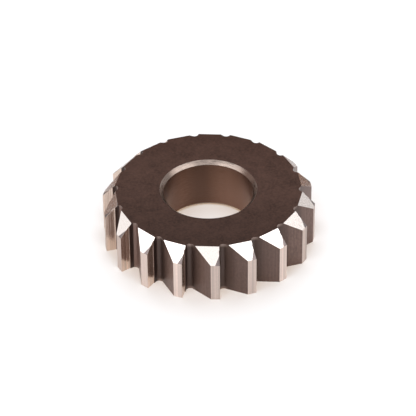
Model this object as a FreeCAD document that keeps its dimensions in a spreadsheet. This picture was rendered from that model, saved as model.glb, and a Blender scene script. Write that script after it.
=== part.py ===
import FreeCAD, Part
import os

import Sketcher

# Hollow hand reamer in the shape of a toothed ring. It slides on a pilot arbor by
# its plain bore and cuts with straight teeth on its rim. The axis is Z, the back
# face lies on Z = 0 and the lead chamfer is on top. One tooth has its cutting edge
# on the +X axis, and seen from above the teeth cut anticlockwise, towards +Y there.
# The teeth are cut into a turned blank one operation after another, each as a tool
# or a grinding wheel would leave it, and the operations are then repeated all round.

NODE = "reamer_ring"

# Lengths are in millimetres and angles in degrees.
SIZES = [
    ("cut_dia", 44.0, "diameter over the cutting edges"),
    ("ring_height", 11.5, "back face to front face"),
    ("bore_dia", 18.5, "plain bore that slides on the arbor"),
    ("bore_chamfer", 0.8, "leg of the 45 degree chamfer at each end of the bore"),
    ("tooth_count", 18, "teeth, evenly spaced round the rim"),
    ("grind_stock", 0.6, "what the turned blank has over the cutting radius"),
    ("overrun", 0.8, "how far each cut runs on past the metal"),
    ("root_dia", 37.25, "diameter over the bottoms of the flutes"),
    ("root_fillet", 0.85, "radius in the bottom of a flute"),
    ("flute_angle", 61.2, "between a rake face and the tooth back across the flute"),
    ("rake_depth", 2.1, "ground part of the rake face, in from the cutting edge"),
    ("rake_step", 0.14, "how far the rake is ground below the milled flute wall"),
    ("margin_width", 0.95, "first land behind the cutting edge"),
    ("margin_relief", 5.9, "how far the margin falls away from the cutting circle"),
    ("land_relief", 8.5, "the same for the second land, behind the margin"),
    ("lead_height", 2.85, "front face down to the foot of the lead chamfer"),
    ("lead_angle", 43.4, "between the lead chamfer and the axis"),
    ("lead_relief", 8.7, "how far the lead chamfer is turned back behind its edge"),
    ("lead_edge", 1.4, "radial length of the narrow relief along the lead edge"),
]

# Expressions that several features share.
CUT_RADIUS = "Sizes.cut_dia / 2"
CLEAR_RADIUS = "Sizes.cut_dia / 2 + Sizes.grind_stock + Sizes.overrun"
CLEAR_TOP = "Sizes.ring_height + Sizes.overrun"
LEAD_FOOT = "Sizes.ring_height - Sizes.lead_height"
PITCH = "360 / Sizes.tooth_count"


def fill_sheet(doc):
    """Put every driving size in the sheet, one to a row, with its name as alias."""
    sheet = doc.addObject("Spreadsheet::Sheet", "Sizes")
    for row, (name, value, note) in enumerate(SIZES, start=1):
        sheet.set("A%d" % row, name)
        sheet.set("B%d" % row, str(value))
        sheet.setAlias("B%d" % row, name)
        sheet.set("C%d" % row, note)
    doc.recompute()


def origin_feature(body, role):
    """The body's own origin plane or axis with this role."""
    for feature in body.Origin.OriginFeatures:
        if feature.Role == role:
            return feature
    raise RuntimeError("the body has no " + role)


def new_sketch(body, name, role):
    """An empty sketch on one of the body's origin planes."""
    sketch = body.newObject("Sketcher::SketchObject", name)
    sketch.AttachmentSupport = [(origin_feature(body, role), "")]
    sketch.MapMode = "FlatFace"
    return sketch


def add_outline(sketch, points):
    """Straight lines from point to point and back to the first, joined end to end."""
    first = sketch.GeometryCount
    count = len(points)
    for start, end in zip(points, points[1:] + points[:1]):
        line = Part.LineSegment(FreeCAD.Vector(*start, 0), FreeCAD.Vector(*end, 0))
        sketch.addGeometry(line, False)
    for side in range(count):
        here = first + side
        after = first + (side + 1) % count
        sketch.addConstraint(Sketcher.Constraint("Coincident", here, 2, after, 1))
    return range(first, first + count)


def level(sketch, *lines):
    for line in lines:
        sketch.addConstraint(Sketcher.Constraint("Horizontal", line))


def upright(sketch, *lines):
    for line in lines:
        sketch.addConstraint(Sketcher.Constraint("Vertical", line))


def tie(sketch, name, expression, *constraint):
    """Add one dimension, name it and bind it to the sheet."""
    index = sketch.addConstraint(Sketcher.Constraint(*constraint))
    sketch.renameConstraint(index, name)
    sketch.setExpression("Constraints." + name, expression)


def pass_through(sketch, line, name, rough, across, up):
    """Make a line pass through a construction point that the sheet places."""
    point = sketch.addGeometry(Part.Point(FreeCAD.Vector(*rough, 0)), True)
    tie(sketch, name + "_across", across, "DistanceX", -1, 1, point, 1, rough[0])
    tie(sketch, name + "_up", up, "DistanceY", -1, 1, point, 1, rough[1])
    sketch.addConstraint(Sketcher.Constraint("PointOnObject", point, 1, line))


def make_blank(body):
    """The turned ring, with grinding stock on its rim and both bore chamfers."""
    sketch = new_sketch(body, "BlankProfile", "XZ_Plane")
    back, rim, front, mouth, bore, tail = add_outline(
        sketch,
        [(10, 0), (23, 0), (23, 11), (10, 11), (9, 10), (9, 1)],
    )
    level(sketch, back, front)
    upright(sketch, rim, bore)
    sketch.addConstraint(Sketcher.Constraint("PointOnObject", back, 1, -1))
    tie(sketch, "blank_radius", CUT_RADIUS + " + Sizes.grind_stock", "DistanceX", -1, 1, rim, 1, 23)
    tie(sketch, "height", "Sizes.ring_height", "DistanceY", rim, 1, rim, 2, 11)
    tie(sketch, "bore_radius", "Sizes.bore_dia / 2", "DistanceX", -1, 1, bore, 1, 9)
    tie(sketch, "mouth_width", "Sizes.bore_chamfer", "DistanceX", mouth, 2, mouth, 1, 1)
    tie(sketch, "mouth_depth", "Sizes.bore_chamfer", "DistanceY", mouth, 2, mouth, 1, 1)
    tie(sketch, "tail_width", "Sizes.bore_chamfer", "DistanceX", tail, 1, tail, 2, 1)
    tie(sketch, "tail_depth", "Sizes.bore_chamfer", "DistanceY", tail, 2, tail, 1, 1)
    blank = body.newObject("PartDesign::Revolution", "Blank")
    blank.Profile = sketch
    blank.ReferenceAxis = (sketch, ["V_Axis"])
    blank.Angle = 360
    return blank


def cut_through(body, name, sketch):
    """Cut a profile drawn on the back face up through the whole ring."""
    pocket = body.newObject("PartDesign::Pocket", name)
    pocket.Profile = sketch
    pocket.Type = "ThroughAll"
    pocket.Reversed = True
    return pocket


def mill_flute(body):
    """One flute: a flat wall under the rake face, a round root and the back of the tooth ahead."""
    sketch = new_sketch(body, "FluteProfile", "XY_Plane")
    wall = sketch.addGeometry(Part.LineSegment(FreeCAD.Vector(23, 0.1, 0), FreeCAD.Vector(19, 0.1, 0)), False)
    circle = Part.Circle(FreeCAD.Vector(19, 1, 0), FreeCAD.Vector(0, 0, 1), 0.9)
    root = sketch.addGeometry(Part.ArcOfCircle(circle, 2.6, 4.7), False)
    back = sketch.addGeometry(Part.LineSegment(FreeCAD.Vector(18.2, 1.4, 0), FreeCAD.Vector(23, 9, 0)), False)
    side = sketch.addGeometry(Part.LineSegment(FreeCAD.Vector(23, 9, 0), FreeCAD.Vector(23, 0.1, 0)), False)
    sketch.addConstraint(Sketcher.Constraint("Tangent", wall, 2, root, 2))
    sketch.addConstraint(Sketcher.Constraint("Tangent", back, 1, root, 1))
    sketch.addConstraint(Sketcher.Constraint("Coincident", back, 2, side, 1))
    sketch.addConstraint(Sketcher.Constraint("Coincident", side, 2, wall, 1))
    level(sketch, wall)
    upright(sketch, side)
    tie(sketch, "step", "Sizes.rake_step", "DistanceY", -1, 1, wall, 1, 0.1)
    tie(sketch, "fillet", "Sizes.root_fillet", "Radius", root, 0.9)
    tie(sketch, "root_centre", "Sizes.root_dia / 2 + Sizes.root_fillet", "Distance", -1, 1, root, 3, 19)
    tie(sketch, "flute_angle", "Sizes.flute_angle", "Angle", back, 1)
    tie(sketch, "side_reach", CLEAR_RADIUS, "DistanceX", -1, 1, side, 1, 23)
    return cut_through(body, "Flute", sketch)


def grind_rake(body):
    """The ground rake face. It is radial, and its inner end leaves a small step."""
    sketch = new_sketch(body, "RakeProfile", "XY_Plane")
    face, side, top, end = add_outline(sketch, [(20, 0), (23, 0), (23, 1), (20, 1)])
    level(sketch, face, top)
    upright(sketch, side, end)
    sketch.addConstraint(Sketcher.Constraint("PointOnObject", face, 1, -1))
    tie(sketch, "face_start", CUT_RADIUS + " - Sizes.rake_depth", "DistanceX", -1, 1, face, 1, 20)
    tie(sketch, "side_reach", CLEAR_RADIUS, "DistanceX", -1, 1, side, 1, 23)
    tie(sketch, "depth", "Sizes.rake_step + Sizes.root_fillet", "DistanceY", side, 1, side, 2, 1)
    return cut_through(body, "RakeGrind", sketch)


def grind_lands(body):
    """The two flat lands behind the cutting edge, the margin and a steeper one."""
    sketch = new_sketch(body, "LandProfile", "XY_Plane")
    land, margin, front, side, rear = add_outline(
        sketch,
        [(21.5, -4), (21.9, -1), (22.1, 1), (23, 1), (23, -4)],
    )
    level(sketch, front, rear)
    upright(sketch, side)
    tip = sketch.addGeometry(Part.Point(FreeCAD.Vector(22, 0, 0)), True)
    sketch.addConstraint(Sketcher.Constraint("PointOnObject", tip, 1, -1))
    sketch.addConstraint(Sketcher.Constraint("PointOnObject", tip, 1, margin))
    tie(sketch, "cutting_edge", CUT_RADIUS, "DistanceX", -1, 1, tip, 1, 22)
    tie(sketch, "margin_width", "Sizes.margin_width", "Distance", tip, 1, margin, 1, 1)
    tie(sketch, "margin_angle", "90 - Sizes.margin_relief", "Angle", margin, 1.4)
    tie(sketch, "land_angle", "90 - Sizes.land_relief", "Angle", land, 1.4)
    tie(sketch, "side_reach", CLEAR_RADIUS, "DistanceX", -1, 1, side, 1, 23)
    tie(sketch, "front_reach", "Sizes.overrun", "DistanceY", -1, 1, front, 1, 1)
    half_pitch = CUT_RADIUS + " * sin(" + PITCH + " / 2)"
    tie(sketch, "rear_reach", half_pitch, "DistanceY", land, 1, -1, 1, 4)
    return cut_through(body, "LandGrind", sketch)


def turned_corner(body, name, relief):
    """Sketch a corner cut on a plane through the axis, turned back from tooth 0.

    The corner lies above and outside one sloping line, which is returned with it."""
    sketch = new_sketch(body, name, "XZ_Plane")
    back_turn = FreeCAD.Rotation(FreeCAD.Vector(0, -1, 0), 5)
    sketch.AttachmentOffset = FreeCAD.Placement(FreeCAD.Vector(0, 0, 0), back_turn)
    sketch.setExpression("AttachmentOffset.Rotation.Angle", relief)
    slope, top, side = add_outline(sketch, [(23, 7), (18, 12), (23, 12)])
    level(sketch, top)
    upright(sketch, side)
    tie(sketch, "side_reach", CLEAR_RADIUS, "DistanceX", -1, 1, side, 1, 23)
    tie(sketch, "top_reach", CLEAR_TOP, "DistanceY", -1, 1, side, 1, 12)
    return sketch, slope


def grind_lead(body):
    """The lead chamfer of one tooth, a flat that falls away behind its cutting edge.

    It meets the line between the two lands at the lead height. It stays clear of the
    tooth behind by stopping two thirds of the way back to that tooth's edge."""
    sketch, slope = turned_corner(body, "LeadProfile", "Sizes.lead_relief")
    foot = (
        CUT_RADIUS + " * cos(Sizes.lead_relief)"
        " + Sizes.margin_width * sin(Sizes.lead_relief - Sizes.margin_relief)"
    )
    pass_through(sketch, slope, "foot", (22, 8), foot, LEAD_FOOT)
    tie(sketch, "lead_angle", "90 + Sizes.lead_angle", "Angle", slope, 2.3)
    pocket = body.newObject("PartDesign::Pocket", "LeadGrind")
    pocket.Profile = sketch
    pocket.SideType = "Two sides"
    pocket.Type = "Length"
    pocket.Type2 = "Length"
    pocket.setExpression("Length", CUT_RADIUS + " * sin(Sizes.lead_relief) + Sizes.overrun")
    behind = CUT_RADIUS + " * sin((" + PITCH + " - Sizes.lead_relief) * 2 / 3)"
    pocket.setExpression("Length2", behind)
    return pocket


def grind_lead_edge(body):
    """The narrow relief along the lead edge, a three-cornered flat beside the rake face.

    It follows the margin and passes through the tip at the lead height. Its far corner
    is where the lead chamfer crosses the rake face, in from the tip by lead_edge."""
    sketch, slope = turned_corner(body, "LeadEdgeProfile", "Sizes.margin_relief")
    tip = CUT_RADIUS + " * cos(Sizes.margin_relief)"
    pass_through(sketch, slope, "tip", (22, 8), tip, LEAD_FOOT)
    inner = "(" + CUT_RADIUS + " - Sizes.lead_edge)"
    across = inner + " * cos(Sizes.margin_relief)"
    drop = (
        "(" + CUT_RADIUS + " * cos(Sizes.lead_relief)"
        " + Sizes.margin_width * sin(Sizes.lead_relief - Sizes.margin_relief)"
        " - " + inner + " * cos(Sizes.lead_relief)) / tan(Sizes.lead_angle)"
    )
    pass_through(sketch, slope, "inner", (20, 10), across, LEAD_FOOT + " + " + drop)
    pocket = body.newObject("PartDesign::Pocket", "LeadEdgeGrind")
    pocket.Profile = sketch
    pocket.Type = "Length"
    pocket.setExpression("Length", CUT_RADIUS + " * sin(Sizes.margin_relief) + Sizes.overrun")
    return pocket


def repeat_teeth(body, cuts):
    """Repeat all the cuts of one tooth round the axis."""
    pattern = body.newObject("PartDesign::PolarPattern", "Teeth")
    pattern.Originals = cuts
    pattern.Axis = (origin_feature(body, "Z_Axis"), [""])
    pattern.Angle = 360
    pattern.setExpression("Occurrences", "Sizes.tooth_count")
    body.Tip = pattern
    return pattern


def check(doc, steps):
    """Stop unless every object is sound and every step takes metal off."""
    for thing in doc.Objects:
        if "Invalid" in thing.State or "Error" in thing.State:
            raise RuntimeError(thing.Name + " failed to compute")
    before = None
    for step in steps:
        shape = step.Shape
        if shape.isNull() or not shape.isValid() or len(shape.Solids) != 1:
            raise RuntimeError(step.Name + " is not one sound solid")
        if before is not None and shape.Volume >= before:
            raise RuntimeError(step.Name + " took nothing off")
        before = shape.Volume
        print("%-14s %9.2f mm3" % (step.Name, before))


def main():
    doc = FreeCAD.newDocument("Reamer")
    fill_sheet(doc)
    body = doc.addObject("PartDesign::Body", NODE)
    body.Label = NODE
    blank = make_blank(body)
    cuts = [
        mill_flute(body),
        grind_rake(body),
        grind_lands(body),
        grind_lead(body),
        grind_lead_edge(body),
    ]
    teeth = repeat_teeth(body, cuts)
    doc.recompute()
    check(doc, [blank] + cuts + [teeth])
    box = body.Shape.BoundBox
    print("box %.3f x %.3f x %.3f mm" % (box.XLength, box.YLength, box.ZLength))
    os.makedirs("parts", exist_ok=True)
    body.Shape.exportStep(os.path.join("parts", NODE + ".step"))


main()
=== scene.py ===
# %% [markdown]
# # A ring-shaped reamer
#
# The real thing is one piece of hardened tool steel: a turned ring with a plain bore,
# dark from its heat treatment, whose teeth were milled and then ground. Grinding took
# the dark skin off wherever a wheel touched it, so one solid shows ten finishes.
# The solid itself comes from the frame, in metres, with its axis on Z and its back
# face on the floor. This lesson dresses a copy of it.

import math

import bpy
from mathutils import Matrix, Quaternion, Vector


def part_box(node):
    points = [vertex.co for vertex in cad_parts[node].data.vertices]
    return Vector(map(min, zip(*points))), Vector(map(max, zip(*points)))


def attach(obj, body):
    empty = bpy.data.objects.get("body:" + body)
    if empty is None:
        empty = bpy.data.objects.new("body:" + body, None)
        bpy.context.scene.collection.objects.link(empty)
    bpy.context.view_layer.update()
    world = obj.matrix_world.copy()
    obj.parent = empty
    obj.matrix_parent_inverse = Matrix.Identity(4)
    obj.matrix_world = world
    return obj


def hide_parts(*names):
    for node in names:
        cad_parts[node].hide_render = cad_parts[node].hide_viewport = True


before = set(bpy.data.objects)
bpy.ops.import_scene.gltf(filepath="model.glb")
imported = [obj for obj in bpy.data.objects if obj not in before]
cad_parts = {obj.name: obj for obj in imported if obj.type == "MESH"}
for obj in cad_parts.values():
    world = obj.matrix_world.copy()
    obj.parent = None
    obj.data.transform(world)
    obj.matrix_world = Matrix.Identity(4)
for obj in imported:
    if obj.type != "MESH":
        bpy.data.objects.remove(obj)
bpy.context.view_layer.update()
low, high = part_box("reamer_ring")
print("solid from", [round(v * 1000, 2) for v in low], "mm")
print("solid to", [round(v * 1000, 2) for v in high], "mm")

# %% [markdown]
# ## The sizes that the finishes need
#
# Every finish ends at an edge of the solid, so the script only has to know on which
# side of an edge it is. The values below are lengths of the real tool, in metres, and
# the pitch of its teeth. The cutting edge of one tooth lies on +X.

# %% Sizes of the tool
MM = 0.001
TIP_RADIUS = high.x
RING_HEIGHT = high.z
TOOTH_COUNT = 18
PITCH = 360 / TOOTH_COUNT
BORE_MOUTH_RADIUS = 10.05 * MM
FLUTE_FLOOR_RADIUS = 18.625 * MM
RAKE_START_RADIUS = 19.9 * MM
LAND_END_ANGLE = 17.53
print("tips at radius", round(TIP_RADIUS / MM, 2), "mm, height", round(RING_HEIGHT / MM, 2), "mm")

# %% [markdown]
# ## The camera
#
# The photograph looks down at about 38 degrees, from far enough away that the far side
# of the ring looks hardly smaller than the near side. A long lens does the same here.
# The camera aims close to the middle of the ring, a little more than half way up, and
# is tipped by half a degree about its own line of sight.

# %% A long lens at the photograph's angle
CAMERA_DISTANCE = 491.93 * MM
CAMERA_TURN = math.radians(4.484)
CAMERA_ELEVATION = math.radians(37.605)
CAMERA_ROLL = math.radians(-0.61)
AIM_OFFSET = -0.137 * MM
AIM_HEIGHT = 6.434 * MM
FOCAL_LENGTH = 205.4
SENSOR_WIDTH = 36

sight = Vector((
    math.sin(CAMERA_TURN) * math.cos(CAMERA_ELEVATION),
    -math.cos(CAMERA_TURN) * math.cos(CAMERA_ELEVATION),
    math.sin(CAMERA_ELEVATION),
))
aim = Vector((AIM_OFFSET * math.cos(CAMERA_TURN), AIM_OFFSET * math.sin(CAMERA_TURN), AIM_HEIGHT))
lens = bpy.data.cameras.new("camera")
lens.lens = FOCAL_LENGTH
lens.sensor_width = SENSOR_WIDTH
lens.clip_start = 0.01
lens.clip_end = 20
camera = bpy.data.objects.new("camera", lens)
bpy.context.collection.objects.link(camera)
camera.rotation_mode = "QUATERNION"
camera.location = aim + sight * CAMERA_DISTANCE
level_view = (-sight).to_track_quat("-Z", "Y")
camera.rotation_quaternion = level_view @ Quaternion((0, 0, 1), CAMERA_ROLL)
bpy.context.scene.camera = camera
print("camera at", tuple(round(v, 4) for v in camera.location))

# %% [markdown]
# ## A copy of the solid, with real faces
#
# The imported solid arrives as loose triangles, which can't take a rounded edge. A copy
# is merged point by point, and triangles that lie in one plane are joined, so every
# ground or milled face of the tool becomes one face of the mesh. A ring-shaped face
# can't be one face, because it has a hole: the front and the back are first cut by
# three planes through the axis, and each sixth gets its own number, across which
# nothing is joined. The solid itself is left alone.

# %% Merge the copy and cut its ring-shaped faces
MERGE_DISTANCE = 0.03 * MM
FIRST_CUT = 12
SIXTH = 60
CUT_TOLERANCE = 0.001 * MM


def only(thing):
    bpy.ops.object.select_all(action="DESELECT")
    thing.select_set(True)
    bpy.context.view_layer.objects.active = thing


solid = bpy.data.objects["reamer_ring"]
ring = solid.copy()
ring.data = solid.data.copy()
ring.name = "dressed_ring"
ring.data.name = "dressed_ring"
bpy.context.collection.objects.link(ring)
ring.data.materials.clear()
only(ring)
bpy.ops.object.mode_set(mode="EDIT")
bpy.ops.mesh.select_all(action="SELECT")
bpy.ops.mesh.remove_doubles(threshold=MERGE_DISTANCE)
for cut_angle in range(FIRST_CUT, 180, SIXTH):
    across = math.radians(cut_angle + 90)
    cut_normal = (math.cos(across), math.sin(across), 0)
    bpy.ops.mesh.select_all(action="SELECT")
    bpy.ops.mesh.bisect(plane_co=(0, 0, 0), plane_no=cut_normal, threshold=CUT_TOLERANCE)
bpy.ops.object.mode_set(mode="OBJECT")
print("corners after merging and cutting:", len(ring.data.vertices))

# %% Join its flat faces
FLAT_ANGLE = math.radians(0.3)
LEVEL = 0.98
for face in ring.data.polygons:
    from_first_cut = math.degrees(math.atan2(face.center.y, face.center.x)) - FIRST_CUT
    sixth = int(from_first_cut % 360 // SIXTH)
    face.material_index = sixth + 1 if abs(face.normal.z) > LEVEL else 0
for number in range(1 + 360 // SIXTH):
    ring.data.materials.append(None)
bpy.ops.object.mode_set(mode="EDIT")
bpy.ops.mesh.select_all(action="SELECT")
bpy.ops.mesh.dissolve_limited(angle_limit=FLAT_ANGLE, delimit={"MATERIAL"})
bpy.ops.mesh.select_all(action="DESELECT")
bpy.ops.object.mode_set(mode="OBJECT")
ring.data.materials.clear()
print("faces after joining:", len(ring.data.polygons))
print("loose edges:", sum(1 for e in ring.data.edges if e.is_loose))

# %% [markdown]
# ## Which finish each face has
#
# A face is told by where its middle lies and by where it looks. The ring repeats every
# 20 degrees, so the angle of its middle, or of its normal, is taken within one pitch.
# The front and back are dark skin. Around the outside come the milled flute, the foot
# of the rake face, the polished rake face that cuts, the margin and the land behind
# it, and at the front the lead chamfer with a small relief along its edge. The bore
# was ground and its mouths were turned. The slant is the angle between where a face
# looks and straight outwards: small on the lands, large on the rakes.

# %% Tell the finishes apart
SLOPING = 0.3
LEAD_FACING_END = 13
RAKE_SLANT = 60
LAND_SLANT = 12
LAND_START_RADIUS = RAKE_START_RADIUS + 0.3 * MM


def within_pitch(angle):
    return math.degrees(angle) % PITCH


def finish_of(face):
    middle, look = face.center, face.normal
    radius = math.hypot(middle.x, middle.y)
    place = math.atan2(middle.y, middle.x)
    facing = math.atan2(look.y, look.x)
    sloping = SLOPING < abs(look.z) < LEVEL
    if radius < BORE_MOUTH_RADIUS:
        return "mouth" if sloping else "bore"
    if abs(look.z) > LEVEL:
        return "front" if look.z > 0 else "back"
    if sloping:
        return "lead" if within_pitch(facing) < LEAD_FACING_END else "lead_relief"
    slant = math.degrees(facing - place + math.pi) % 360 - 180
    if slant > RAKE_SLANT:
        return "rake" if radius > RAKE_START_RADIUS else "foot"
    if abs(slant) > LAND_SLANT or radius < LAND_START_RADIUS:
        return "flute"
    return "margin" if within_pitch(place) > LAND_END_ANGLE else "land"


FINISHES = [
    "front", "back", "flute", "rake", "margin", "land",
    "lead", "lead_relief", "mouth", "bore", "foot",
]
slot_of = {}
for number, finish in enumerate(FINISHES):
    ring.data.materials.append(bpy.data.materials.new("ring_" + finish))
    slot_of[finish] = number
counts = dict.fromkeys(FINISHES, 0)
for face in ring.data.polygons:
    finish = finish_of(face)
    face.material_index = slot_of[finish]
    counts[finish] += 1
print("faces of each finish:", counts)

# %% [markdown]
# ## Edges that catch the light
#
# No real edge is perfectly sharp. A bevel of a few hundredths of a millimetre rounds
# them all, the cutting edges too, and gives the thin light lines that a render of hard
# edges lacks. The ring is then shaded smooth, and its normals are weighted by area, so
# the large ground faces stay flat and only the rounded edges turn. Both modifiers are
# applied.

# %% Round every edge a little
EDGE_RADIUS = 0.04 * MM
SHARP_ANGLE = math.radians(20)

only(ring)
rounding = ring.modifiers.new("edge_rounding", "BEVEL")
rounding.width = EDGE_RADIUS
rounding.segments = 2
rounding.limit_method = "ANGLE"
rounding.angle_limit = SHARP_ANGLE
bpy.ops.object.modifier_apply(modifier="edge_rounding")
bpy.ops.object.shade_smooth()
flatness = ring.modifiers.new("flat_faces", "WEIGHTED_NORMAL")
flatness.mode = "FACE_AREA"
flatness.weight = 50
bpy.ops.object.modifier_apply(modifier="flat_faces")
print("faces with rounded edges:", len(ring.data.polygons))

# %% [markdown]
# ## Patterns that every finish is made from
#
# Each finish is bare or darkened steel with its own tool marks, made by a few small
# helpers. The first ones work out a number, a vector or a length from other nodes. Then
# one gives noise stretched along the marks, one turns it into a range of numbers, one
# mixes two colours by it, one lets it vary a tone, and one raises it as relief. All
# patterns read Object coordinates in metres, so they stay with the tool.

# %% Helpers that work something out
def worked_out(tree, kind, operation, values):
    """The outputs of one operation, whose values are fixed or come from other nodes."""
    node = tree.nodes.new(kind)
    node.operation = operation
    for socket, value in zip(node.inputs, values):
        if isinstance(value, bpy.types.NodeSocket):
            tree.links.new(value, socket)
        else:
            socket.default_value = value
    return node.outputs


def number_from(tree, operation, *values):
    return worked_out(tree, "ShaderNodeMath", operation, values)["Value"]


def vector_from(tree, operation, *values):
    return worked_out(tree, "ShaderNodeVectorMath", operation, values)["Vector"]


def length_from(tree, operation, *values):
    return worked_out(tree, "ShaderNodeVectorMath", operation, values)["Value"]


def times(colour, factor):
    return tuple(value * factor for value in colour)


print("half of a colour:", times((0.2, 0.4, 0.6), 0.5))


# %% Helpers for patterns
def tool_place(tree):
    return tree.nodes.new("ShaderNodeTexCoord").outputs["Object"]


def marks(tree, place, spread, detail):
    """Noise with about as many grains to a unit of place, on each axis, as spread says."""
    scaling = tree.nodes.new("ShaderNodeMapping")
    scaling.inputs["Scale"].default_value = spread
    tree.links.new(place, scaling.inputs["Vector"])
    noise = tree.nodes.new("ShaderNodeTexNoise")
    noise.inputs["Scale"].default_value = 1.0
    noise.inputs["Detail"].default_value = detail
    noise.inputs["Roughness"].default_value = 0.55
    tree.links.new(scaling.outputs["Vector"], noise.inputs["Vector"])
    return noise.outputs["Fac"]


def ranged(tree, pattern, lowest, highest, start=0.3, end=0.7):
    """A pattern from start to end turned into numbers from lowest to highest."""
    fit = tree.nodes.new("ShaderNodeMapRange")
    fit.inputs["From Min"].default_value = start
    fit.inputs["From Max"].default_value = end
    fit.inputs["To Min"].default_value = lowest
    fit.inputs["To Max"].default_value = highest
    tree.links.new(pattern, fit.inputs["Value"])
    return fit.outputs["Result"]


def blended(tree, share, first, second):
    """The first colour where share is 0 and the second where it is 1."""
    mix = tree.nodes.new("ShaderNodeMix")
    mix.data_type = "RGBA"
    tree.links.new(share, mix.inputs["Factor"])
    for socket, value in (("A", first), ("B", second)):
        target = [s for s in mix.inputs if s.name == socket and s.type == "RGBA"][0]
        if isinstance(value, tuple):
            target.default_value = (*value, 1)
        else:
            tree.links.new(value, target)
    return [s for s in mix.outputs if s.type == "RGBA"][0]


def varied(tree, pattern, tone, darkest, lightest):
    """A tone that a pattern makes darker and lighter."""
    return blended(tree, ranged(tree, pattern, 0, 1), times(tone, darkest), times(tone, lightest))


def raised(tree, shader, pattern, height):
    """Raise a pattern as relief, on top of the relief that the shader may have already."""
    bump = tree.nodes.new("ShaderNodeBump")
    bump.inputs["Strength"].default_value = 1.0
    bump.inputs["Distance"].default_value = height
    tree.links.new(pattern, bump.inputs["Height"])
    relief = shader.inputs["Normal"]
    if relief.is_linked:
        tree.links.new(relief.links[0].from_socket, bump.inputs["Normal"])
    tree.links.new(bump.outputs["Normal"], relief)


print("a spread of 2300 gives grains of", round(1 / 2300 / MM, 2), "mm")

# %% [markdown]
# ## Patterns that know the ring
#
# Turned and ground faces have marks that run round the axis, so a few helpers know
# where a point lies on the ring. They give such marks, a gloss spread by them, and a
# spot that fades with the distance from a place. Two more start a finish as bare metal
# and complete it: its tool marks vary its gloss and stand out a little as relief.

# %% Helpers for the ring and its finishes
REACH_SHARE = -0.3


def ring_place(tree):
    """The coordinates of a point, its distance from the axis and its direction from it."""
    place = tool_place(tree)
    split = tree.nodes.new("ShaderNodeSeparateXYZ")
    tree.links.new(place, split.inputs["Vector"])
    flat = vector_from(tree, "MULTIPLY", place, (1, 1, 0))
    reach = length_from(tree, "LENGTH", flat)
    return split.outputs, reach, vector_from(tree, "NORMALIZE", flat)


def round_marks(tree, spread_round, spread_across, detail):
    """Marks that run round the axis: slow change round it, quick change across them.

    A step outwards counts as three tenths of a step down, so walls, level faces and
    chamfers of either slope all have marks.
    """
    along, reach, unit = ring_place(tree)
    slope = number_from(tree, "MULTIPLY_ADD", reach, REACH_SHARE, along["Z"])
    height = tree.nodes.new("ShaderNodeCombineXYZ")
    tree.links.new(number_from(tree, "MULTIPLY", slope, spread_across), height.inputs["Z"])
    slow = vector_from(tree, "MULTIPLY", unit, (spread_round,) * 3)
    lifted = vector_from(tree, "ADD", slow, height.outputs["Vector"])
    return marks(tree, lifted, (1, 1, 1), detail)


def brushed_round(tree, shader, amount):
    """Marks that run round the axis spread the gloss at right angles to themselves."""
    tangent = tree.nodes.new("ShaderNodeTangent")
    tangent.direction_type = "RADIAL"
    tangent.axis = "Z"
    tree.links.new(tangent.outputs["Tangent"], shader.inputs["Tangent"])
    shader.inputs["Anisotropic"].default_value = amount
    shader.inputs["Anisotropic Rotation"].default_value = 0.25


def spot(tree, centre, inner, outer, place=None):
    """1 up to the inner distance from a place, falling to 0 at the outer distance."""
    apart = length_from(tree, "DISTANCE", place or tool_place(tree), centre)
    return ranged(tree, apart, 1, 0, inner, outer)


def steel(finish, colour, roughness):
    material = ring.data.materials[slot_of[finish]]
    material.use_nodes = True
    shader = material.node_tree.nodes["Principled BSDF"]
    shader.inputs["Base Color"].default_value = (*colour, 1)
    shader.inputs["Roughness"].default_value = roughness
    shader.inputs["Metallic"].default_value = 1.0
    return material.node_tree, shader


def completed(tree, shader, colour, lines, smoothest, roughest, height):
    tree.links.new(colour, shader.inputs["Base Color"])
    tree.links.new(ranged(tree, lines, smoothest, roughest), shader.inputs["Roughness"])
    raised(tree, shader, lines, height)


print("finishes to make:", len(slot_of))

# %% [markdown]
# ## Front and back: dark skin
#
# Heat treatment leaves a thin brown-black skin. On the flat faces it lies over a fine
# surface grinding, so it is matt and slightly mottled. Two sizes of noise do that: a
# coarse one for the uneven skin and a fine one for its grain. The side of the tool that
# faces the camera is painted darker, as painted shade, and the far side a little
# lighter, as painted light.

# %% Dark skin
SKIN = (0.070, 0.039, 0.031)
SKIN_REACH = 18 * MM
NEAR_SHADE_END = 2 * MM
for finish in ("front", "back"):
    tree, shader = steel(finish, SKIN, 0.55)
    place = tool_place(tree)
    cloud = marks(tree, place, (320, 320, 320), 5)
    grain = marks(tree, place, (2300, 2300, 2300), 2)
    cloudy = varied(tree, cloud, SKIN, 0.70, 1.22)
    grainy = blended(tree, ranged(tree, grain, 0, 0.65, 0.35, 0.75), cloudy, times(SKIN, 2.1))
    # Painted shade on the half of the face towards the camera, painted light on the far half.
    rearward = ring_place(tree)[0]["Y"]
    near_shade = ranged(tree, rearward, 0.36, 0, -SKIN_REACH, NEAR_SHADE_END)
    far_light = ranged(tree, rearward, 0, 0.20, 0, SKIN_REACH)
    with_painted_shade = blended(tree, near_shade, grainy, times(SKIN, 0.20))
    skin_with_painted_light = blended(tree, far_light, with_painted_shade, times(SKIN, 1.70))
    completed(tree, shader, skin_with_painted_light, grain, 0.50, 0.64, 0.004 * MM)
print("skin", SKIN)
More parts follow.
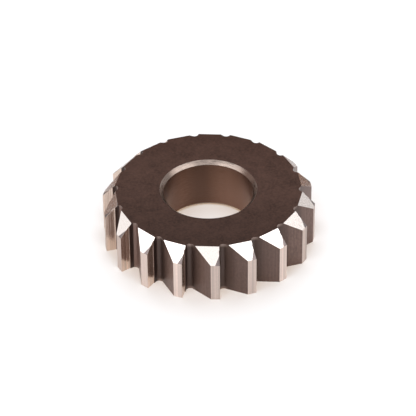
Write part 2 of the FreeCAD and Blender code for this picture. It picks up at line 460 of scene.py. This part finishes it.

# %% [markdown]
# ## Flutes: milled, then darkened
# The cutter ran along the axis, so its marks are straight lines up the tooth's back,
# the root and the foot of the rake face. The skin grew over them. Noise that is
# stretched a hundredfold along Z gives such lines on a face of any direction. Painted
# shade makes the colour fall off towards the axis in the roots, and the foot of the rake
# face, where the stone never comes, is painted darkest, as shade. The thin film of oil
# on top gives a sheen at low angles, which is what the coat is for. Two spots on the
# ring's own circle paint light on the roots at the left of the tool and paint shade on
# the backs at its right front. Where each flute runs
# out through the front and the back, a file took the burr off and wore the skin thin,
# which leaves a small light patch at each end of the root.

# %% Milled flutes
FLUTE_STEEL = (0.152, 0.096, 0.080)
# The foot is skin darkened further by painted shade.
FOOT_SKIN_IN_SHADE = (0.070, 0.040, 0.032)
WORN_SKIN = (0.245, 0.180, 0.156)
ROOT_SHADE = 0.50
ROOT_SHADE_END_RADIUS = 20.4 * MM
RIGHT_FRONT = (0.50, -0.87, 0)
LEFT_FRONT = (-0.95, -0.31, 0)
FILED_DEPTH = 0.80 * MM
WORN_DEPTH = 0.30 * MM
WORN_RADIUS = 18.75 * MM
FILED_RADIUS = 19.15 * MM
for finish, tone, left_root_light in (("flute", FLUTE_STEEL, 1.45), ("foot", FOOT_SKIN_IN_SHADE, 0.55)):
    tree, shader = steel(finish, tone, 0.6)
    place = tool_place(tree)
    wide_lines = marks(tree, place, (1500, 1500, 14), 2)
    fine_lines = marks(tree, place, (7000, 7000, 40), 2)
    grain = marks(tree, place, (2400, 2400, 1500), 2)
    stain = marks(tree, place, (330, 330, 200), 3)
    lined = varied(tree, wide_lines, tone, 0.76, 1.24)
    grainy = blended(tree, ranged(tree, grain, 0, 0.7), lined, times(tone, 1.55))
    stained = blended(tree, ranged(tree, stain, 0, 0.3), grainy, times(tone, 0.75))

    along, reach, unit = ring_place(tree)
    # Painted shade on the backs at the right front and painted light on the roots at the left.
    right_side = spot(tree, RIGHT_FRONT, 0.26, 0.60, unit)
    left_side = spot(tree, LEFT_FRONT, 0.45, 0.72, unit)
    right_shaded = blended(tree, ranged(tree, right_side, 0, 0.4, 0, 1), stained, times(tone, 0.5))
    root_tone = blended(tree, left_side, times(tone, ROOT_SHADE), times(tone, left_root_light))
    # Painted shade: every root gets darker towards the axis.
    at_root = ranged(tree, reach, 1, 0, FLUTE_FLOOR_RADIUS, ROOT_SHADE_END_RADIUS)
    root_shaded = blended(tree, at_root, right_shaded, root_tone)

    half = RING_HEIGHT / 2
    from_middle = number_from(tree, "ABSOLUTE", number_from(tree, "SUBTRACT", along["Z"], half))
    near_end = ranged(tree, from_middle, 0, 1, half - FILED_DEPTH, half - WORN_DEPTH)
    near_floor = ranged(tree, reach, 1, 0, WORN_RADIUS, FILED_RADIUS)
    filed = number_from(tree, "MULTIPLY", near_end, near_floor)
    worn = blended(tree, filed, root_shaded, WORN_SKIN)
    completed(tree, shader, worn, fine_lines, 0.52, 0.68, 0.004 * MM)
    shader.inputs["Coat Weight"].default_value = 0.48
    shader.inputs["Coat Roughness"].default_value = 0.30
print("flutes", FLUTE_STEEL, "foot", FOOT_SKIN_IN_SHADE)

# %% [markdown]
# ## Lands and margins: bare ground steel
#
# The wheel that made the cutting diameter took the skin off. The tool turned under it,
# so its fine lines run round the axis and spread the gloss up and down the tooth. Paler
# and darker streaks, left by the reliefs that were ground beside one another, run up
# it. The margin, which rubs in the hole, is a little duller than the land behind it.

# %% Ground lands and margins
GROUND_STEEL = (0.660, 0.540, 0.487)
for finish, share, roughest in (("land", 1.0, 0.54), ("margin", 0.93, 0.56)):
    tone = times(GROUND_STEEL, share)
    tree, shader = steel(finish, tone, 0.3)
    wide_lines = marks(tree, tool_place(tree), (2600, 2600, 22), 3)
    fine_lines = round_marks(tree, 60, 6000, 2)
    lined = varied(tree, wide_lines, tone, 0.82, 1.20)
    grainy = blended(tree, ranged(tree, fine_lines, 0.30, 0), lined, times(tone, 0.60))
    completed(tree, shader, grainy, fine_lines, 0.44, roughest, 0.003 * MM)
    brushed_round(tree, shader, 1.0)
print("lands", GROUND_STEEL)

# %% [markdown]
# ## Rake faces: polished
#
# The face that the chip slides on is the smoothest of all. It mirrors the back of the
# next tooth, and near the floor the floor. The stone's strokes run up the tooth. They
# leave shallow ripples that smear what the face mirrors sideways, never up or down, so
# the ripples are bump and not only colour. A round stone also leaves the lowest half
# millimetre of the face curved up, so it looks outwards and catches a strip of light.

# %% Polished rake faces
RAKE_STEEL = (0.765, 0.617, 0.527)
CURVED_WIDTH = 0.6 * MM
CURVED_RISE = 0.07 * MM
RIPPLE_HEIGHT = 0.045 * MM
tree, shader = steel("rake", RAKE_STEEL, 0.16)
along, reach, unit = ring_place(tree)
at_foot = ranged(tree, reach, 1, 0, RAKE_START_RADIUS, RAKE_START_RADIUS + CURVED_WIDTH)
raised(tree, shader, number_from(tree, "POWER", at_foot, 2.0), CURVED_RISE)
streaks = marks(tree, tool_place(tree), (3200, 3200, 9), 3)
streaky = varied(tree, streaks, RAKE_STEEL, 0.70, 1.15)
completed(tree, shader, streaky, streaks, 0.14, 0.28, RIPPLE_HEIGHT)
tree.links.new(unit, shader.inputs["Tangent"])
shader.inputs["Anisotropic"].default_value = 0.9
print("rakes", RAKE_STEEL)

# %% [markdown]
# ## Lead chamfers
#
# The sloping face at the front of each tooth does the cutting when the tool enters a
# hole. It is ground last and is the brightest. The small three-cornered relief along
# its edge was dressed by a coarser stone and stays grey.

# %% Ground lead chamfers and their grey relief
LEAD_STEEL = (0.660, 0.600, 0.570)
tree, shader = steel("lead", LEAD_STEEL, 0.25)
fine_lines = marks(tree, tool_place(tree), (6000, 6000, 900), 3)
lined = varied(tree, fine_lines, LEAD_STEEL, 0.94, 1.06)
completed(tree, shader, lined, fine_lines, 0.20, 0.32, 0.0008 * MM)

STONE_GREY = (0.166, 0.136, 0.132)
tree, shader = steel("lead_relief", STONE_GREY, 0.4)
scratches = marks(tree, tool_place(tree), (5200, 5200, 1300), 3)
scratched = varied(tree, scratches, STONE_GREY, 0.78, 1.25)
completed(tree, shader, scratched, scratches, 0.34, 0.50, 0.003 * MM)
print("leads", LEAD_STEEL, "relief", STONE_GREY)

# %% [markdown]
# ## Bore and its mouths
#
# Both were worked on a spindle, so their marks run round the axis. The mouth is a
# bright turned chamfer, made darker and browner at its left and right. The bore was
# ground before the last heat, which left it brown and half glossy. Opposite the camera
# it is painted darker, as painted shade, and beside that paler, as painted light.

# %% Turned mouths
MOUTH_STEEL = (0.270, 0.216, 0.190)
RIGHT_BROWN = (0.125, 0.080, 0.064)
LEFT_BROWN = (0.185, 0.142, 0.122)
RIGHT_OF_MOUTH = (8.4 * MM, 4.6 * MM, 11.1 * MM)
LEFT_OF_MOUTH = (-8.7 * MM, 4.4 * MM, 11.1 * MM)
tree, shader = steel("mouth", MOUTH_STEEL, 0.3)
turned = round_marks(tree, 7, 8000, 3)
patchy = marks(tree, tool_place(tree), (500, 500, 500), 3)
turned_tone = varied(tree, turned, MOUTH_STEEL, 0.64, 1.36)
patched = blended(tree, ranged(tree, patchy, 0, 0.35), turned_tone, times(MOUTH_STEEL, 0.7))
# Two spots make the mouth darker and browner at its left and right.
right_dark_spot = spot(tree, RIGHT_OF_MOUTH, 1.5 * MM, 5.0 * MM)
left_dark_spot = spot(tree, LEFT_OF_MOUTH, 1.2 * MM, 3.6 * MM)
darker_sides = blended(tree, right_dark_spot, patched, RIGHT_BROWN)
darker_sides = blended(tree, left_dark_spot, darker_sides, LEFT_BROWN)
completed(tree, shader, darker_sides, turned, 0.24, 0.36, 0.004 * MM)
brushed_round(tree, shader, 0.6)
print("mouth", MOUTH_STEEL)

# %% The ground bore
BORE_STEEL = (0.163, 0.096, 0.072)
BORE_BROWN = (0.175, 0.092, 0.060)
FAR_SIDE = (-0.26, 0.97, 0)
RIGHT_REAR = (0.71, 0.71, 0)
tree, shader = steel("bore", BORE_STEEL, 0.36)
ground = round_marks(tree, 7, 3600, 3)
heat = marks(tree, tool_place(tree), (170, 170, 120), 3)
ground_tone = varied(tree, ground, BORE_STEEL, 0.70, 1.28)
heated = blended(tree, ranged(tree, heat, 0, 0.6), ground_tone, BORE_BROWN)
# Painted shade opposite the camera and painted light at the right rear, by two spots.
unit = ring_place(tree)[2]
painted_dark_side = spot(tree, FAR_SIDE, 0.08, 0.46, unit)
painted_pale_side = spot(tree, RIGHT_REAR, 0.40, 0.85, unit)
with_painted_shade = blended(tree, ranged(tree, painted_dark_side, 0, 0.8, 0, 1), heated, times(BORE_STEEL, 0.66))
bore_with_painted_light = blended(tree, ranged(tree, painted_pale_side, 0, 0.7, 0, 1), with_painted_shade, times(BORE_STEEL, 1.45))
completed(tree, shader, bore_with_painted_light, ground, 0.30, 0.42, 0.002 * MM)
brushed_round(tree, shader, 0.2)
print("bore", BORE_STEEL)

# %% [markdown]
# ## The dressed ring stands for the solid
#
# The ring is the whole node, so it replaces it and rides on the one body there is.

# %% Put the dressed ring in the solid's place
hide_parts("reamer_ring")
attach(ring, "root")
print("dressed ring:", len(ring.data.polygons), "faces")

# %% [markdown]
# ## Floor
#
# The part lies on a pale floor. The lamps light its paint, and a glow, seen by the
# camera and by shiny metal, brings the open floor up to white, while close to the ring
# the soft shadow stays. The paint is cool and the glow is warm, so together they are
# white, and where the ring keeps the lamps off the paint the shadow is warm, as in the
# photograph. To diffuse light the floor is plain and has no glow, so the glow shows but
# lights nothing. The floor lies a fiftieth of a millimetre below the back face, so the
# two never fight for the same plane.

# %% Pale floor
FLOOR_GLOW = (0.350, 0.220, 0.120)
FLOOR_PAINT = (0.635, 0.740, 0.835)
PLAIN_FLOOR = (0.80, 0.79, 0.78)
FLOOR_SIZE = 8
FLOOR_GAP = 0.02 * MM
bpy.ops.object.select_all(action="DESELECT")
bpy.ops.mesh.primitive_plane_add(size=FLOOR_SIZE)
floor = bpy.context.object
floor.name = "floor"
floor.location.z = -FLOOR_GAP
bpy.ops.object.transform_apply(location=True, rotation=False, scale=False)
print("floor", FLOOR_GAP / MM, "mm below the back face")


# %% Its paint and its glow
def seen_directly(tree):
    """1 for the camera, for mirror rays and for rays through glass, 0 for diffuse light."""
    rays = tree.nodes.new("ShaderNodeLightPath").outputs
    seen = number_from(tree, "MAXIMUM", rays["Is Camera Ray"], rays["Is Glossy Ray"])
    return number_from(tree, "MAXIMUM", seen, rays["Is Transmission Ray"])


paper = bpy.data.materials.new("pale_floor")
paper.use_nodes = True
tree = paper.node_tree
tree.nodes.clear()
plain = tree.nodes.new("ShaderNodeBsdfDiffuse")
plain.inputs["Color"].default_value = (*PLAIN_FLOOR, 1)
paint = tree.nodes.new("ShaderNodeBsdfDiffuse")
paint.inputs["Color"].default_value = (*FLOOR_PAINT, 1)
glow = tree.nodes.new("ShaderNodeEmission")
glow.inputs["Color"].default_value = (*FLOOR_GLOW, 1)
lit = tree.nodes.new("ShaderNodeAddShader")
tree.links.new(paint.outputs["BSDF"], lit.inputs[0])
tree.links.new(glow.outputs["Emission"], lit.inputs[1])
choice = tree.nodes.new("ShaderNodeMixShader")
tree.links.new(seen_directly(tree), choice.inputs[0])
tree.links.new(plain.outputs["BSDF"], choice.inputs[1])
tree.links.new(lit.outputs["Shader"], choice.inputs[2])
output = tree.nodes.new("ShaderNodeOutputMaterial")
tree.links.new(choice.outputs["Shader"], output.inputs["Surface"])
floor.data.materials.append(paper)
print("floor paint", FLOOR_PAINT, "and glow", FLOOR_GLOW)

# %% [markdown]
# ## Light
#
# The studio is white all round. Shiny steel shows what stands round it, so the lamps
# are of two kinds. The first kind is only mirrored: a soft box at each side of the
# camera makes the lead chamfers shine, a low one in front is for the lands, and one at
# the left rear, dimmer than the studio, takes some white off the chamfers there. The
# second kind only gives light: one from the front brightens the floor and the floor
# seen through the bore, and one from the rear is stopped by the ring, which makes the
# shadow in front of it. The top box does both. A low dark card behind the tool is seen
# by shiny metal alone: the chamfers at the far left and right mirror it, as they do in
# the photograph.

# %% White world
SKY_LIGHT = 0.175
world = bpy.data.worlds.new("studio")
bpy.context.scene.world = world
world.use_nodes = True
tree = world.node_tree
sky = tree.nodes["Background"]
sky.inputs["Color"].default_value = (1, 1, 1, 1)
strength = tree.nodes.new("ShaderNodeMapRange")
strength.inputs["To Min"].default_value = SKY_LIGHT
strength.inputs["To Max"].default_value = 1.0
tree.links.new(seen_directly(tree), strength.inputs["Value"])
tree.links.new(strength.outputs["Result"], sky.inputs["Strength"])
bpy.context.scene.view_settings.view_transform = "Standard"
print("sky for diffuse light", SKY_LIGHT)

# %% Soft boxes
LAMP_DISTANCE = 1.0


def studio_place(azimuth, elevation, distance):
    """A place seen from the tool. The camera stands at azimuth -90."""
    turn = math.radians(azimuth) + CAMERA_TURN
    tilt = math.radians(elevation)
    return Vector((
        math.cos(turn) * math.cos(tilt),
        math.sin(turn) * math.cos(tilt),
        math.sin(tilt),
    )) * distance


def soft_box(name, azimuth, elevation, width, height, glow):
    lamp = bpy.data.lights.new(name, "AREA")
    lamp.shape = "RECTANGLE"
    lamp.size = width
    lamp.size_y = height
    lamp.energy = math.pi * width * height * glow
    holder = bpy.data.objects.new(name, lamp)
    bpy.context.collection.objects.link(holder)
    holder.location = studio_place(azimuth, elevation, LAMP_DISTANCE)
    holder.rotation_mode = "QUATERNION"
    holder.rotation_quaternion = (-holder.location).to_track_quat("-Z", "Y")
    holder.visible_camera = False
    return holder


for lamp_row in (
    ("left_box", -148, 34, 1.10, 0.62, 2.30),
    ("right_box", -21, 35, 1.02, 0.62, 2.50),
    ("left_rear_box", 162, 18, 0.50, 0.50, 0.45),
    ("low_box", -92, 8, 0.80, 0.26, 1.20),
):
    soft_box(*lamp_row).visible_diffuse = False
soft_box("top_box", -94, 51, 1.35, 0.62, 0.58)
for lamp_row in (
    ("front_fill", -94, 60, 1.30, 0.60, 2.74),
    ("rear_fill", 90, 60, 1.10, 0.90, 2.22),
):
    soft_box(*lamp_row).visible_glossy = False

# %% The dark card
CARD_WIDTH = 116 * MM
CARD_HEIGHT = 21 * MM
CARD_AZIMUTH = 108
CARD_DISTANCE = 36.5 * MM
CARD_MIDDLE = 10.7 * MM
FELT = (0.27, 0.138, 0.084)
bpy.ops.object.select_all(action="DESELECT")
bpy.ops.mesh.primitive_plane_add(size=1)
card = bpy.context.object
card.name = "dark_card"
bpy.ops.transform.resize(value=(CARD_WIDTH, CARD_HEIGHT, 1))
card.rotation_euler = (math.radians(90), 0, CAMERA_TURN)
card.location = studio_place(CARD_AZIMUTH, 0, CARD_DISTANCE) + Vector((0, 0, CARD_MIDDLE))
bpy.ops.object.transform_apply(location=True, rotation=True, scale=True)
felt = bpy.data.materials.new("dark_felt")
felt.use_nodes = True
felt_shader = felt.node_tree.nodes["Principled BSDF"]
felt_shader.inputs["Base Color"].default_value = (*FELT, 1)
felt_shader.inputs["Roughness"].default_value = 1.0
card.data.materials.append(felt)
card.visible_camera = False
card.visible_diffuse = False
card.visible_shadow = False
print("card", CARD_WIDTH / MM, "by", CARD_HEIGHT / MM, "mm, felt", FELT)
